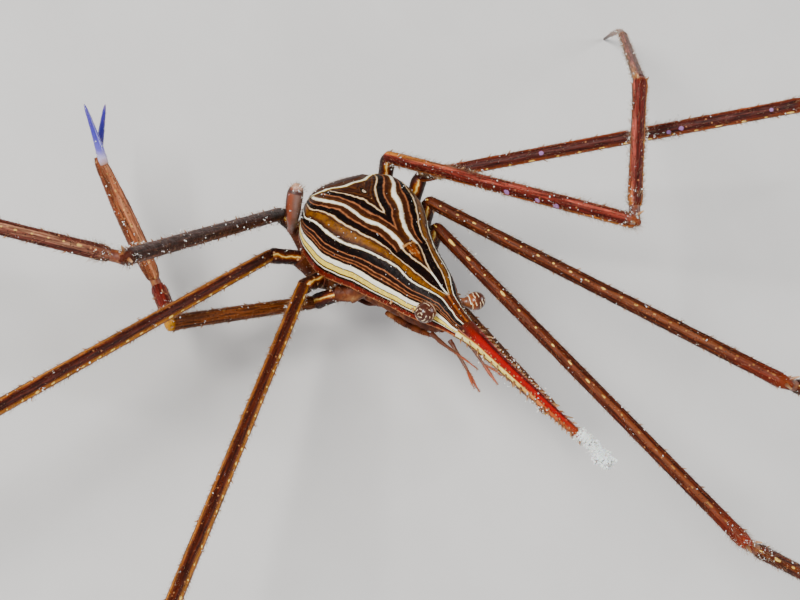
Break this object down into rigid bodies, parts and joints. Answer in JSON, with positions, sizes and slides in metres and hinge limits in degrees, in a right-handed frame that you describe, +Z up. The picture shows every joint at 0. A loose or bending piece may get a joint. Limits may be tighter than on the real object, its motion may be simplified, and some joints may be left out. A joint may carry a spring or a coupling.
{
  "type": "arrow crab",
  "caption": "Life-size still model of an arrow crab: striped pear-shaped shell, long spined rostrum, thin jointed legs, slender claws with violet fingers.",
  "frame": {"origin": "centre of the bounding box in plan, on the floor that the leg tips stand on", "axes": "+Z up, +X the way the rostrum points, +Y to the animal's left; the legs spread widest along Y"},
  "size_m": [0.1404, 0.2362, 0.0444],
  "materials": {
    "carapace": "satin, striped in cream, ochre and dark brown",
    "rostrum": "satin, red over a cream line",
    "underside": "satin, pale red-brown",
    "limb": "satin, red-brown with ochre edges and pale spots",
    "claw": "satin, tan to red-brown",
    "finger": "satin, violet blue",
    "eye": "glossy, dark brown with broken cream rings",
    "feeler": "satin, brown",
    "growth": "matt, white sponge"
  },
  "bodies": {
    "root": {"abdomen": "underside", "antenna_L": "feeler", "antenna_R": "feeler", "antennule_L": "feeler", "antennule_R": "feeler", "carapace": "carapace", "claw_L_carpus": "claw", "claw_L_finger": "finger", "claw_L_merus": "claw", "claw_L_palm": "claw", "claw_R_carpus": "claw", "claw_R_finger": "finger", "claw_R_merus": "claw", "claw_R_palm": "claw", "eye_L": "eye", "eye_R": "eye", "leg_L2_carpus": "limb", "leg_L2_dactylus": "limb", "leg_L2_merus": "limb", "leg_L2_propodus": "limb", "leg_L3_carpus": "limb", "leg_L3_dactylus": "limb", "leg_L3_merus": "limb", "leg_L3_propodus": "limb", "leg_L4_carpus": "limb", "leg_L4_dactylus": "limb", "leg_L4_merus": "limb", "leg_L4_propodus": "limb", "leg_L5_carpus": "limb", "leg_L5_dactylus": "limb", "leg_L5_merus": "limb", "leg_L5_propodus": "limb", "leg_R2_carpus": "limb", "leg_R2_dactylus": "limb", "leg_R2_merus": "limb", "leg_R2_propodus": "limb", "leg_R3_carpus": "limb", "leg_R3_dactylus": "limb", "leg_R3_merus": "limb", "leg_R3_propodus": "limb", "leg_R4_carpus": "limb", "leg_R4_dactylus": "limb", "leg_R4_merus": "limb", "leg_R4_propodus": "limb", "leg_R5_stump": "limb", "maxilliped_L": "underside", "maxilliped_R": "underside", "rostrum": "rostrum", "rostrum_growth": "growth", "underside": "underside"}
  },
  "joints": []
}
